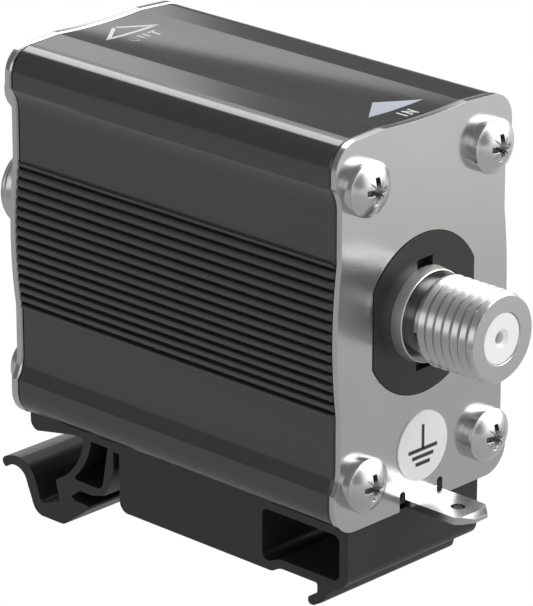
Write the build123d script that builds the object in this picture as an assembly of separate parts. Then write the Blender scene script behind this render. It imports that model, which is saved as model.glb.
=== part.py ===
from build123d import *
import os

# Coax lightning arrestor for a 35 mm rail. Millimetres, +Z up.
# X runs across the width and Y runs from the front port to the rear port.
# The origin is the centre of the front port's open end, and Z = 0 is the line of both ports.

# Ports: a 3/8-32 thread turned on a bulkhead shell
thread_r = 9.525 / 2
thread_l = 7.55
thread_chamfer = 0.35
undercut_r = 3.9
undercut_l = 1.5
collar_r = 5.01
collar_l = 1.3
port_bore_r = 2.715
port_bore_chamfer = 0.25
stem_r = 3.95
stem_past_nut = 0.8
nut_across_flats = 11.0
nut_t = 2.4
lock_washer_r = 5.6
lock_washer_t = 0.5
insulator_recess = 0.45
insulator_break = 0.3
contact_hole_r = 0.65
contact_r = 1.05
contact_funnel = 0.35
contact_start = 1.4
slit_w = 0.25
slit_l = 5.0
contact_past_shell = 0.9
tail_r = 0.45
tail_l = 2.6

# Bush: the double-D plug that keeps a port clear of its plate
bush_r = 8.52
bush_flat = 7.48
bush_proud = 0.1
bush_flange = 1.4
bush_flange_t = 1.2
key_w = 2.3
key_top = 5.95
key_depth = 1.0

# Plates: one folded sheet at each end
sheet_t = 0.8
edge_break = 0.15
plate_grow = 0.08
plate_hole_gap = 0.08

# Housing: the extruded sleeve between the plates
housing_l = 45.4
end_break = 0.3
waist_x = 12.05
lobe_out = 0.87
lobe_z = 16.2
lobe_top_l = 1.3
lobe_low_l = 1.4
ramp_l = 2.6
band_z = 8.1
plate_bow = 0.57
crest_bow = 0.93
crest_step = 0.37
corner_r = 3.05
ridge_x = 6.1
ridge_rise = 0.2
dish_depth = 0.25
groove_count = 15
groove_pitch = 1.08
groove_w = 0.4
groove_depth = 0.85
groove_mouth = 0.14
wall_x = 1.55
wall_z = 2.0
boss_r = 2.55

# Plate screws: M3 raised cheese heads
screw_from_side = 3.72
screw_from_top = 4.9
screw_r = 1.5
screw_clearance = 0.05
screw_l = 8.0
head_r = 2.93
head_side = 1.2
head_dome = 1.05
head_blend = 0.2
recess_reach = 1.75
recess_w = 0.62
recess_depth = 0.8
tick_reach = 1.35
tick_w = 0.16
tick_depth = 0.5

# Earth tab: a 4.8 mm blade folded forward out of the front plate
tab_w = 4.8
tab_up = 1.05
tab_straight = 6.6
tab_l = 8.1
tab_tip_w = 2.0
tab_bevel_l = 0.95
tab_bevel_drop = 0.18
tab_bend_r = 0.15
tab_hole_r = 0.75
tab_hole_out = 5.0
relief_w = 0.85
relief_rise = 0.97

# Earth disc beside the tab
disc_r = 3.72
disc_t = 0.15
disc_up = 5.25

# Rail foot: one moulding with the fixed hook, the sprung latch and its lever
foot_w = 19.74
foot_inset = 0.2
foot_gap = 0.45
foot_roof = 0.88
foot_wall = 1.12
land_w = 13.0
land_inset = 1.0
rail_w = 35.0
rail_play = 0.3
hook_wall = 4.18
hook_lip = 1.28
lip_drop = 1.4
lip_t = 1.22
pad_l = 4.95
seat_drop = 6.95
channel_drop = 0.65
split_w = 0.9
window_l = 10.85
window_step = 2.6
window_corner = 0.8
latch_root = 6.55
leg_t = 0.9
nose_in = 1.72
latch_drop = 4.85
sole_t = 1.7
lever_out = 11.45
arm_back = 3.22

# Foot screws: up through the block into the housing's floor
foot_screw_front = 17.0
foot_screw_back = 4.93
foot_head_r = 2.8
foot_head_t = 1.9
foot_bore_r = 3.1
foot_bore_depth = 3.2
foot_screw_reach = 1.4

# Circuit board in the housing's slots
board_t = 1.6
board_gap = 0.05
board_slot = 0.45

# Parts on the board, measured from its middle
gas_tube_r = 2.4
gas_tube_l = 5.6
gas_cap_l = 0.7
gas_cap_proud = 0.25
gas_tube_at = (5.0, -4.0)
lead_r = 0.4
lead_out = 1.1
lead_stub = 0.6
diode_size = (4.4, 3.6, 2.2)
diode_at = (-5.0, -5.0)
coil_r = 3.3
coil_h = 4.6
coil_core_r = 1.5
coil_flange_t = 0.6
coil_inset = 0.4
coil_at = (-5.0, 5.0)
capacitor_size = (1.6, 3.2, 1.3)
capacitor_offset = 10.0
resistor_size = (1.6, 3.2, 0.6)
resistor_at = (5.0, 6.5)
part_gap = 0.03
clip_w = 4.0
clip_t = 0.25
clip_reach = 4.2
clip_h = 5.5
clip_at = 1.5

# Section of the housing and the plates
lobe_x = waist_x + lobe_out
waist_z = lobe_z - ramp_l
lobe_top = lobe_z + lobe_top_l + corner_r
floor_z = lobe_z + lobe_low_l + corner_r
ridge_top = lobe_top + ridge_rise
bulge_x = waist_x + plate_bow
crest_x = waist_x + crest_bow
crest_end_x = waist_x + crest_step
screw_x = lobe_x - screw_from_side
screw_z = lobe_top - screw_from_top
tab_top = floor_z - tab_up
relief_top = tab_top - relief_rise
disc_drop = tab_top - disc_up

# Stations along Y, from the front port's open end
bush_face = thread_l + undercut_l + collar_l
plate_face = bush_face + bush_proud
plate_back = plate_face + sheet_t
housing_end = plate_back + housing_l
mid_y = (plate_back + housing_end) / 2
flange_back = plate_back + bush_flange_t
nut_front = flange_back + lock_washer_t
stem_end = nut_front + nut_t + stem_past_nut
contact_end = stem_end + contact_past_shell
tail_end = contact_end + tail_l

# Inside of the housing
inner_x = waist_x - wall_x
inner_top = ridge_top - dish_depth - wall_z
inner_bottom = floor_z - wall_z
tab_root_z = -relief_top
board_top = -tail_r - board_gap
board_mid = board_top - board_t / 2

# Foot, below the housing's floor
foot_front = plate_back + foot_inset
foot_top = -floor_z - foot_gap
foot_roof_z = foot_top - foot_roof
seat_z = foot_top - seat_drop
channel_z = seat_z - channel_drop
hook_y = foot_front + hook_wall
catch_y = hook_y + rail_w + rail_play
block_back = catch_y - latch_root
leg_y = block_back + split_w
foot_screw_y = (foot_front + foot_screw_front, block_back - foot_screw_back)


def along_y(sketch, start, end):
    """Extrude an X-Z sketch from Y = start to Y = end."""
    plane = Plane(origin=(0, end, 0), x_dir=(1, 0, 0), z_dir=(0, -1, 0))
    return extrude(plane * sketch, end - start)


def across_x(sketch, width):
    """Extrude a Y-Z sketch by width, centred on X = 0."""
    return extrude(Plane.YZ * sketch, width / 2, both=True)


def outline(start, *steps):
    """Face inside a closed run of lines and arcs: a step is an end point, or (via, end) for an arc."""
    edges = []
    here = start
    for step in (*steps, start):
        if isinstance(step[0], tuple):
            edges.append(ThreePointArc(here, *step))
            here = step[1]
        elif step != here:
            edges.append(Line(here, step))
            here = step
    return make_face(Curve() + edges)


def turned(start, *steps):
    """Revolve a closed outline of (radius, Y) points about the port line."""
    return revolve(outline(start, *steps), Axis.Y)


def to_rear(shape):
    """The same piece at the rear end, facing backwards."""
    middle = Plane(origin=(0, mid_y, 0), z_dir=(0, 1, 0))
    return Compound(children=[mirror(solid, about=middle) for solid in shape.solids()])


def box(size, centre):
    """A plain block of the given size about a centre."""
    return Pos(*centre) * Box(*size)


def section(grow, band_mid, band_end):
    """Section of the sleeve or a plate: creased lobes at the corners, narrow waists and a bowed band."""
    lobe = lobe_x + grow
    waist = waist_x + grow
    top = lobe_top + grow
    low = -floor_z - grow
    ridge = ridge_top + grow
    cut = corner_r * (1 - 0.5 ** 0.5)
    right = [
        ThreePointArc((band_end, -band_z), (band_mid, 0), (band_end, band_z)),
        ThreePointArc((lobe, top - corner_r), (lobe - cut, top - cut), (lobe - corner_r, top)),
        ThreePointArc((lobe, low + corner_r), (lobe - cut, low + cut), (lobe - corner_r, low)),
        Line((lobe, lobe_z), (lobe, top - corner_r)),
        Line((lobe, -lobe_z), (lobe, low + corner_r)),
        Line((lobe - corner_r, top), (ridge_x, ridge)),
    ]
    for sign in (-1, 1):
        right += [
            TangentArc((waist, sign * waist_z), (lobe, sign * lobe_z), tangent=(0, sign)),
            Line((waist, sign * band_z), (waist, sign * waist_z)),
        ]
        if band_end > waist:
            right.append(Line((waist, sign * band_z), (band_end, sign * band_z)))
    left = [mirror(edge, about=Plane.YZ) for edge in right]
    dish = ThreePointArc((-ridge_x, ridge), (0, ridge - dish_depth), (ridge_x, ridge))
    base = Line((corner_r - lobe, low), (lobe - corner_r, low))
    return make_face(Curve() + [*right, *left, dish, base])


def groove(z):
    """One groove of the right-hand side, flared at its mouth, cut in from the crest line."""
    crest = crest_x - (crest_x - crest_end_x) * (z / band_z) ** 2
    half = groove_w / 2
    mouth = [
        (crest - groove_depth, z - half),
        (crest - groove_mouth, z - half),
        (crest + groove_mouth, z - half - 2 * groove_mouth),
        (crest + groove_mouth, z + half + 2 * groove_mouth),
        (crest - groove_mouth, z + half),
        (crest - groove_depth, z + half),
    ]
    return make_face(Polyline(*mouth, close=True))


def boss(x, z):
    """Corner block of the sleeve round a screw, run out into the walls beside it."""
    reach = boss_r if x > 0 else -boss_r
    rise = boss_r if z > 0 else -boss_r
    size = 2 * boss_r
    block = Pos(x, z) * Circle(boss_r)
    for centre in ((x + reach, z), (x, z + rise), (x + reach, z + rise)):
        block += Pos(*centre) * Rectangle(size, size)
    return block


def screw_spots():
    """Places of the four screws of a plate, in X and Z."""
    return [(x, z) for x in (-screw_x, screw_x) for z in (-screw_z, screw_z)]


def make_housing():
    """Sleeve with broken ends, grooved sides, screw bosses in its corners and two board slots."""
    sleeve = along_y(section(0, crest_x, crest_end_x), plate_back, housing_end)
    ends = sleeve.faces().filter_by(Axis.Y)
    sleeve = chamfer([edge for end in ends for edge in end.edges()], end_break)
    hollow = Pos(0, (inner_top - inner_bottom) / 2) * Rectangle(2 * inner_x, inner_top + inner_bottom)
    for x, z in screw_spots():
        hollow -= boss(x, z)
    hollow += Pos(0, board_mid) * Rectangle(2 * (inner_x + board_slot), board_t + 2 * board_gap)
    for x, z in screw_spots():
        hollow += Pos(x, z) * Circle(screw_r + screw_clearance)
    for i in range(groove_count):
        cut = groove((i - (groove_count - 1) / 2) * groove_pitch)
        hollow += [cut, mirror(cut, about=Plane.YZ)]
    sleeve -= along_y(hollow, plate_back, housing_end)
    for y in foot_screw_y:
        sleeve -= Pos(0, y, -floor_z) * Cylinder(screw_r + screw_clearance, 4 * wall_z)
    return sleeve


def double_d(radius, flat):
    """A circle with its two sides cut flat."""
    return Circle(radius) & Rectangle(2 * flat, 2 * radius)


def make_plate():
    """Plain plate with a double-D hole and four screw holes, its back edge broken."""
    band = bulge_x + plate_grow
    plate = along_y(section(plate_grow, band, waist_x + plate_grow), plate_face, plate_back)
    plate = chamfer(plate.faces().sort_by(Axis.Y)[-1].edges(), edge_break)
    holes = double_d(bush_r + plate_hole_gap, bush_flat + plate_hole_gap)
    for x, z in screw_spots():
        holes += Pos(x, z) * Circle(screw_r + 2 * screw_clearance)
    return plate - along_y(holes, plate_face - 1, plate_back + 1)


def make_tab():
    """The blade: out of the plate, round the bend and forward to its bevelled tip."""
    fold_y = plate_face - tab_bend_r
    fold_z = -tab_top + tab_bend_r
    under = -tab_top - sheet_t
    tip = plate_face - tab_l
    outer_r = tab_bend_r + sheet_t
    lean = 0.5 ** 0.5
    side = outline(
        (plate_face, tab_root_z),
        (plate_back, tab_root_z),
        (plate_back, fold_z),
        ((fold_y + outer_r * lean, fold_z - outer_r * lean), (fold_y, under)),
        (tip + tab_bevel_l, under),
        (tip, under + tab_bevel_drop),
        (tip, -tab_top - tab_bevel_drop),
        (tip + tab_bevel_l, -tab_top),
        (fold_y, -tab_top),
        ((fold_y + tab_bend_r * lean, fold_z - tab_bend_r * lean), (plate_face, fold_z)),
    )
    shoulder = plate_face - tab_straight
    plan = outline(
        (-tab_w / 2, plate_back),
        (-tab_w / 2, shoulder),
        (-tab_tip_w / 2, tip),
        (tab_tip_w / 2, tip),
        (tab_w / 2, shoulder),
        (tab_w / 2, plate_back),
    )
    plan -= Pos(0, plate_face - tab_hole_out) * Circle(tab_hole_r)
    return across_x(side, tab_w) & extrude(Pos(0, 0, -floor_z - 1) * plan, floor_z)


def make_front_plate():
    """Plate with its earth tab, and a relief slot on each side of the fold."""
    low = floor_z + plate_grow + 1
    top = relief_top + relief_w / 2
    cuts = Pos(0, -(relief_top + low) / 2) * Rectangle(tab_w, low - relief_top)
    for sign in (-1, 1):
        x = sign * (tab_w + relief_w) / 2
        cuts += Pos(x, -top) * Circle(relief_w / 2)
        cuts += Pos(x, -(top + low) / 2) * Rectangle(relief_w, low - top)
    return make_plate() - along_y(cuts, plate_face - 1, plate_back + 1) + make_tab()


def make_bush():
    """Double-D plug in the plate's hole, with a flange behind the plate and two key notches."""
    hub = along_y(double_d(bush_r, bush_flat), bush_face, plate_back)
    flange = double_d(bush_r + bush_flange, bush_flat + bush_flange)
    bush = hub + along_y(flange, plate_back, flange_back)
    bush -= along_y(Circle(stem_r + screw_clearance), bush_face - 1, flange_back + 1)
    return bush - box((key_w, 2 * key_depth, 2 * key_top), (0, bush_face, 0))


def make_port_shell():
    """Turned shell: threaded nose, undercut, collar and the stem that takes the nut."""
    nose = thread_r - thread_chamfer
    return turned(
        (port_bore_r + port_bore_chamfer, 0),
        (nose, 0),
        (thread_r, thread_chamfer),
        (thread_r, thread_l),
        (undercut_r, thread_l),
        (undercut_r, thread_l + undercut_l),
        (collar_r, thread_l + undercut_l),
        (collar_r, bush_face),
        (stem_r, bush_face),
        (stem_r, stem_end),
        (port_bore_r, stem_end),
        (port_bore_r, port_bore_chamfer),
    )


def make_insulator():
    """White plug down the shell's bore, holding the contact."""
    outer = port_bore_r - part_gap
    socket = contact_r + part_gap
    return turned(
        (contact_hole_r + contact_funnel, insulator_recess),
        (outer - insulator_break, insulator_recess),
        (outer, insulator_recess + insulator_break),
        (outer, stem_end),
        (socket, stem_end),
        (socket, contact_start - part_gap),
        (contact_hole_r, contact_start - part_gap),
        (contact_hole_r, insulator_recess + contact_funnel),
    )


def make_contact():
    """Sprung socket for the cable's centre wire, with a solder tail over the board."""
    socket_end = contact_end - 2 * tail_r
    tube = turned(
        (contact_hole_r, contact_start),
        (contact_r, contact_start),
        (contact_r, contact_end),
        (tail_r, contact_end),
        (tail_r, tail_end),
        (0, tail_end),
        (0, socket_end),
        (contact_hole_r, socket_end),
    )
    return tube - box((slit_w, slit_l, 3 * contact_r), (0, contact_start + slit_l / 2, 0))


def make_lock_washer():
    """Flat ring between the bush and the nut."""
    ring = Circle(lock_washer_r) - Circle(stem_r + part_gap)
    return along_y(ring, flange_back, nut_front)


def make_nut():
    """Hexagon nut on the port's stem."""
    hexagon = RegularPolygon(nut_across_flats / 2, 6, major_radius=False)
    ring = hexagon - Circle(stem_r + part_gap)
    return along_y(ring, nut_front, nut_front + nut_t)


def make_plate_screw():
    """Raised cheese head on the plate, its shank in a boss. Head's seat at Y = 0, axis on Y."""
    crown = -head_side - head_dome
    shoulder = -head_side + head_blend
    rim = head_r - head_blend
    dome_r = (rim ** 2 + head_dome ** 2) / (2 * head_dome)
    screw = turned(
        (0, crown),
        (0, sheet_t + screw_l),
        (screw_r, sheet_t + screw_l),
        (screw_r, 0),
        (head_r, 0),
        (head_r, shoulder),
        ((head_r - 0.3 * head_blend, -head_side + 0.3 * head_blend), (rim, -head_side)),
        ((rim / 2, crown + dome_r - (dome_r ** 2 - rim ** 2 / 4) ** 0.5), (0, crown)),
    )
    slot = Rectangle(2 * recess_reach, recess_w) + Rectangle(recess_w, 2 * recess_reach)
    tick = Rectangle(2 * tick_reach, tick_w)
    screw -= along_y(slot, crown - 1, crown + recess_depth)
    screw -= along_y(Rot(0, 0, 45) * tick + Rot(0, 0, -45) * tick, crown - 1, crown + tick_depth)
    return screw


def make_plate_screws():
    """The four screws of the front plate, as separate solids."""
    screw = make_plate_screw()
    return Compound(children=[Pos(x, plate_face, z) * screw for x, z in screw_spots()])


def make_earth_disc():
    """Thin round plate on the front plate's face, above the tab."""
    return along_y(Pos(0, -disc_drop) * Circle(disc_r), plate_face - disc_t, plate_face)


def front_steps():
    """Foot's front end in Y-Z, from its top corner down the front wall and round the fixed hook."""
    lip_top = seat_z - lip_drop
    lip_low = lip_top - lip_t
    toe = hook_y + hook_lip
    return [
        (foot_front, foot_top),
        (foot_front, seat_z + 1.7),
        ((foot_front + 0.27, seat_z + 0.98), (foot_front + 0.85, seat_z + 0.45)),
        (hook_y - 1.16, lip_top + 0.41),
        (hook_y - 0.98, lip_top - 0.12),
        ((hook_y - 0.82, lip_top - 0.42), (hook_y - 0.5, lip_top - 0.68)),
        (hook_y + 0.37, lip_low + 0.04),
        ((hook_y + 0.75, lip_low - 0.04), (toe - 0.23, lip_low)),
        ((toe - 0.05, lip_low + 0.17), (toe, lip_low + 0.42)),
        ((toe - 0.06, lip_top - 0.48), (toe - 0.29, lip_top - 0.31)),
        (hook_y + 0.32, lip_top + 0.07),
        ((hook_y + 0.09, lip_top + 0.25), (hook_y, lip_top + 0.5)),
        (hook_y, seat_z - 0.28),
        ((hook_y + 0.08, seat_z - 0.08), (hook_y + 0.28, seat_z)),
    ]


def block_steps():
    """Foot's solid middle in Y-Z: the rail pad, its slope down to the channel and the rear face."""
    pad_end = hook_y + pad_l
    return [
        (pad_end, seat_z),
        ((pad_end + 0.4, seat_z - 0.1), (pad_end + 0.95, seat_z - 0.38)),
        ((pad_end + 1.35, channel_z + 0.07), (pad_end + 1.85, channel_z)),
        (block_back - 1.4, channel_z),
        ((block_back - 0.35, channel_z + 0.35), (block_back, channel_z + 1.15)),
        (block_back, foot_roof_z - 0.2),
        (leg_y, foot_roof_z - 0.2),
    ]


def latch_steps():
    """Foot's sprung end in Y-Z, from the leg past the notch and nose to the lever and the arm."""
    y, z = catch_y, seat_z
    nose, arm = y - nose_in, y + arm_back
    tip = y + lever_out
    sole = z - latch_drop
    slot = sole + sole_t
    return [
        (leg_y, z + 3.8),
        ((leg_y + 0.45, z + 2.3), (leg_y + 1.5, z + 0.35)),
        (y - 2.3, z - 0.14),
        (y - 0.45, z - 0.15),
        (y + 0.95, z - 1.17),
        (y + 0.2, z - 1.52),
        (nose + 0.27, z - 1.55),
        ((nose, z - 1.8), (nose + 0.17, z - 2.1)),
        (y + 1.8, sole + 0.25),
        ((y + 2.15, sole + 0.07), (y + 2.6, sole)),
        (tip - 5.85, sole),
        ((tip - 5.05, sole + 0.35), (tip - 4.5, sole + 1.1)),
        (tip - 3.59, z - 1.55),
        ((tip - 2.9, z - 0.5), (tip - 1.75, z - 0.12)),
        ((tip - 0.95, z - 0.26), (tip - 0.32, z - 0.68)),
        ((tip + 0.21, z - 0.2), (tip - 0.15, z + 0.48)),
        ((tip - 1.25, z + 0.9), (tip - 2.55, z + 1.0)),
        ((tip - 3.85, z + 0.45), (tip - 4.8, z - 0.63)),
        (tip - 5.55, slot + 0.45),
        ((tip - 5.8, slot + 0.03), (tip - 6.25, slot)),
        (arm, slot + 0.53),
        ((arm - 0.39, slot + 0.73), (arm - 0.47, slot + 1.15)),
        (arm, z - 0.3),
        ((arm - 0.02, z + 0.05), (arm - 0.28, z + 0.28)),
        ((y + 0.3, z + 2.45), (y - 1.05, z + 5.2)),
        (y - 1.1, foot_roof_z - 0.2),
        (y - 0.9, foot_roof_z),
        (y + 0.4, foot_roof_z),
        (y + 5.6, foot_roof_z - 1.0),
        ((y + 6.75, foot_roof_z - 0.75), (y + 7.05, foot_roof_z)),
        (y + 7.05, foot_top),
    ]


def cell():
    """Hollow between the leg and the arm of the latch, in Y-Z."""
    y, z = catch_y, seat_z
    leg = leg_y + leg_t
    return outline(
        (y - 2.3, foot_roof_z),
        ((y - 1.3, z + 3.3), (y + 0.12, z + 1.46)),
        ((y + 0.28, z + 1.12), (y, z + 0.98)),
        (leg + 1.65, z + 0.96),
        ((leg + 1.0, z + 1.2), (leg + 0.7, z + 1.7)),
        (leg, foot_roof_z - 0.35),
        ((leg + 0.02, foot_roof_z - 0.1), (leg + 0.25, foot_roof_z)),
    )


def window():
    """Hollow behind the foot's front wall, in Y-Z, its floor stepped like the sole below it."""
    front = foot_front + foot_wall
    back = front + window_l
    low = seat_z + foot_wall - 0.1
    face = outline(
        (front, foot_roof_z),
        (front, low),
        (back - window_step, low),
        (back - 0.38 * window_step, low - channel_drop),
        (back, low - channel_drop),
        (back, foot_roof_z),
    )
    corners = face.vertices().filter_by(lambda v: min(v.X - front, back - v.X) < 0.01)
    return fillet(corners, window_corner)


def make_foot():
    """Rail foot: one profile straight across, with a land under the housing and two screw bores."""
    steps = [*front_steps(), *block_steps(), *latch_steps()]
    foot = across_x(outline(*steps) - cell() - window(), foot_w)
    land_l = housing_l - 2 * land_inset
    foot += box((land_w, land_l, 2 * foot_gap), (0, mid_y, foot_top))
    for y in foot_screw_y:
        bore = Cylinder(foot_bore_r, 2 * foot_bore_depth)
        foot -= Pos(0, y, channel_z) * bore
        foot -= Pos(0, y, foot_top) * Cylinder(screw_r + 2 * screw_clearance, 4 * seat_drop)
    return foot


def make_foot_screws():
    """Two pan-head screws up through the foot into the housing's floor, as separate solids."""
    seat = channel_z + foot_bore_depth
    tip = -inner_bottom + foot_screw_reach
    profile = outline(
        (0, seat - foot_head_t),
        (0.55 * foot_head_r, seat - foot_head_t),
        ((0.9 * foot_head_r, seat - 0.8 * foot_head_t), (foot_head_r, seat - 0.4 * foot_head_t)),
        (foot_head_r, seat),
        (screw_r, seat),
        (screw_r, tip),
        (0, tip),
    )
    screw = revolve(Plane.XZ * profile, Axis.Z)
    slot = box((2 * recess_reach, recess_w, foot_head_t), (0, 0, seat - foot_head_t))
    screw -= [slot, Rot(0, 0, 90) * slot]
    return Compound(children=[Pos(0, y, 0) * screw for y in foot_screw_y])


def lead_spots():
    """The gas tube's two lead holes in the board, in X and Y."""
    x, y = gas_tube_at
    reach = gas_tube_l / 2 + lead_out
    return [(x - reach, mid_y + y), (x + reach, mid_y + y)]


def make_board():
    """Circuit board, its long edges in the housing's slots, drilled for the gas tube's leads."""
    board_l = 2 * (mid_y - contact_end - board_gap)
    width = 2 * (inner_x + board_slot - board_gap)
    board = box((width, board_l, board_t), (0, mid_y, board_mid))
    for x, y in lead_spots():
        board -= Pos(x, y, board_mid) * Cylinder(lead_r + screw_clearance, 2 * board_t)
    return board


def gas_tube_z():
    """Height of the gas tube's axis: its caps stand on the board."""
    return board_top + gas_tube_r + gas_cap_proud + part_gap


def make_gas_tube():
    """Ceramic gas discharge tube with a metal cap at each end, lying across the board."""
    x, y = gas_tube_at
    body = Cylinder(gas_tube_r, gas_tube_l)
    for sign in (-1, 1):
        middle = sign * (gas_tube_l - gas_cap_l) / 2
        body += Pos(0, 0, middle) * Cylinder(gas_tube_r + gas_cap_proud, gas_cap_l)
    return Pos(x, mid_y + y, gas_tube_z()) * Rot(0, 90, 0) * body


def make_lead(sign):
    """One lead of the gas tube: out of its cap, round a bend and down through the board."""
    x, y = gas_tube_at
    high = gas_tube_z()
    cap = x + sign * gas_tube_l / 2
    down = cap + sign * lead_out
    path = FilletPolyline(
        (cap, mid_y + y, high),
        (down, mid_y + y, high),
        (down, mid_y + y, board_top - board_t - lead_stub),
        radius=lead_out * 0.8,
    )
    start = Plane(origin=(cap, mid_y + y, high), z_dir=(sign, 0, 0))
    return sweep(start * Circle(lead_r), path=path)


def on_board(size, place):
    """A block of the given size standing on the board at (X, Y from the middle)."""
    x, y = place
    return box(size, (x, mid_y + y, board_top + size[2] / 2))


def make_coil_bobbin():
    """Ferrite bobbin of the decoupling coil."""
    x, y = coil_at
    spool = Pos(0, 0, coil_h / 2) * Cylinder(coil_core_r, coil_h)
    for z in (coil_flange_t / 2, coil_h - coil_flange_t / 2):
        spool += Pos(0, 0, z) * Cylinder(coil_r, coil_flange_t)
    return Pos(x, mid_y + y, board_top) * spool


def make_coil_winding():
    """Copper winding between the bobbin's flanges."""
    x, y = coil_at
    height = coil_h - 2 * coil_flange_t - 2 * part_gap
    ring = Cylinder(coil_r - coil_inset, height) - Cylinder(coil_core_r + part_gap, 2 * height)
    return Pos(x, mid_y + y, board_top + coil_h / 2) * ring


def make_earth_clip():
    """Bronze leaf that stands on the board and presses on the housing's side wall."""
    x = inner_x - part_gap
    y = mid_y + clip_at
    foot = box((clip_reach, clip_w, clip_t), (x - clip_reach / 2, y, board_top + clip_t / 2))
    leaf = box((clip_t, clip_w, clip_h), (x - clip_t / 2, y, board_top + clip_h / 2))
    return foot + leaf


def make_parts():
    """Every piece, by the name of its node."""
    ports = {
        "port_shell": make_port_shell(),
        "port_bush": make_bush(),
        "port_insulator": make_insulator(),
        "port_contact": make_contact(),
        "lock_washer": make_lock_washer(),
        "port_nut": make_nut(),
        "plate_screws": make_plate_screws(),
    }
    pieces = {"front_" + name: shape for name, shape in ports.items()}
    pieces |= {"rear_" + name: to_rear(shape) for name, shape in ports.items()}
    return pieces | {
        "housing": make_housing(),
        "front_plate": make_front_plate(),
        "rear_plate": to_rear(make_plate()),
        "earth_disc": make_earth_disc(),
        "rail_foot": make_foot(),
        "foot_screws": make_foot_screws(),
        "circuit_board": make_board(),
        "gas_discharge_tube": make_gas_tube(),
        "gas_tube_line_lead": make_lead(-1),
        "gas_tube_earth_lead": make_lead(1),
        "suppressor_diode": on_board(diode_size, diode_at),
        "coil_bobbin": make_coil_bobbin(),
        "coil_winding": make_coil_winding(),
        "front_capacitor": on_board(capacitor_size, (0, -capacitor_offset)),
        "rear_capacitor": on_board(capacitor_size, (0, capacitor_offset)),
        "bleed_resistor": on_board(resistor_size, resistor_at),
        "board_earth_clip": make_earth_clip(),
    }


os.makedirs("parts", exist_ok=True)
for node, shape in make_parts().items():
    export_step(shape, f"parts/{node}.step")
    print(node, round(shape.volume, 2))
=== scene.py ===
# %% [markdown]
# # A coaxial surge arrestor, dressed for the camera
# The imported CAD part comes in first, as a frame that never moves. Every later cell either gives one of its
# pieces a finish, or models a finer piece in its place. Lengths are in metres, as Blender and the frame
# have them, and the small sizes are written in millimetres and scaled by one named value.

# %% Load the frame
import math

import bmesh
import bpy
from mathutils import Euler, Matrix, Vector


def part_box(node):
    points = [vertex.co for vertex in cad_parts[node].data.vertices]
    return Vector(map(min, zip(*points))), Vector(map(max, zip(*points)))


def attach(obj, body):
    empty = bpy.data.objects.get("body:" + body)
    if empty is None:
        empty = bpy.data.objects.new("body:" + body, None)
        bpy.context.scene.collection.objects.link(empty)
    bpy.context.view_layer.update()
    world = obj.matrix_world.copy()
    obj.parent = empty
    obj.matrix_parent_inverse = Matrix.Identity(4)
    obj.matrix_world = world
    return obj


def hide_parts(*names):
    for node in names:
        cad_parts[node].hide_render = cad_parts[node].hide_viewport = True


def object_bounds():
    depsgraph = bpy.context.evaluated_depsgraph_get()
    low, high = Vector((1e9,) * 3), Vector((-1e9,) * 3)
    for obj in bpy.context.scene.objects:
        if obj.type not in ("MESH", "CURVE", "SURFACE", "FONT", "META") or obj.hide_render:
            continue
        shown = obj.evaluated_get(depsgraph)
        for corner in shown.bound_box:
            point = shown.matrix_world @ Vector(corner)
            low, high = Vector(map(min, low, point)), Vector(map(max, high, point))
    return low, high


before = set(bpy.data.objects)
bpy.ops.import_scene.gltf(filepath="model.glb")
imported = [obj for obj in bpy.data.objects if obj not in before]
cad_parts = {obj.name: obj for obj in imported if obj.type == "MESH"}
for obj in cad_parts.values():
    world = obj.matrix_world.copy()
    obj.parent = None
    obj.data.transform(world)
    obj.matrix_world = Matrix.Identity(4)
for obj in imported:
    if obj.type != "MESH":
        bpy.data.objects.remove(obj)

mm = 0.001
cad_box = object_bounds()
scene = bpy.context.scene
print("nodes in the frame:", len(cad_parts))

# %% [markdown]
# ## Camera
# The straight edges of the body and the round edges of the front port fix where the photograph was taken
# from: about 42 cm away, looking down by some 20 degrees, with a long lens. A camera could be turned by
# hand until the picture looks right, but one set from measurements makes the render lie over the
# photograph, so that each piece can be compared in place.

# %% Place the camera
camera_at = Vector((-0.30000, -0.25602, 0.15216))
camera_tilt = math.radians(69.35)
camera_turn = math.radians(-46.14)
camera_lens = 289.15

lens = bpy.data.cameras.new("camera")
lens.sensor_fit = "HORIZONTAL"
lens.sensor_width = 36.0
lens.lens = camera_lens
lens.clip_start = 0.01
camera = bpy.data.objects.new("camera", lens)
camera.location = camera_at
camera.rotation_euler = Euler((camera_tilt, 0.0, camera_turn))
scene.collection.objects.link(camera)
scene.camera = camera
print("camera to origin:", round(camera_at.length, 3), "m")

# %% [markdown]
# ## Shader arithmetic
# A finish is mostly sums: a gloss plus a little noise, one mask times one minus another. Wired by hand
# these are hard to read, so one small class lets a socket be used like a number in Python. Numbers alone
# are worked out in Python, and only what changes over the surface becomes a node.

# %% A socket that works like a number
class Signal:
    """One output socket of a shader tree. Sums with it add Math nodes."""

    def __init__(self, wiring, socket):
        self.wiring = wiring
        self.socket = socket

    def math(self, operation, *values):
        """Add one Math node with these values, and give back its output."""
        return self.wiring.add("ShaderNodeMath", {"operation": operation}, dict(enumerate(values)))

    def __add__(self, other):
        return self.math("ADD", self, other)

    def __sub__(self, other):
        return self.math("SUBTRACT", self, other)

    def __rsub__(self, other):
        return self.math("SUBTRACT", other, self)

    def __mul__(self, other):
        return self.math("MULTIPLY", self, other)

    def __truediv__(self, other):
        return self.math("DIVIDE", self, other)

    def __pow__(self, other):
        return self.math("POWER", self, other)

    def __abs__(self):
        return self.math("ABSOLUTE", self)

    __radd__ = __add__
    __rmul__ = __mul__

    def larger(self, other):
        return self.math("MAXIMUM", self, other)

    def smaller(self, other):
        return self.math("MINIMUM", self, other)

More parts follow.
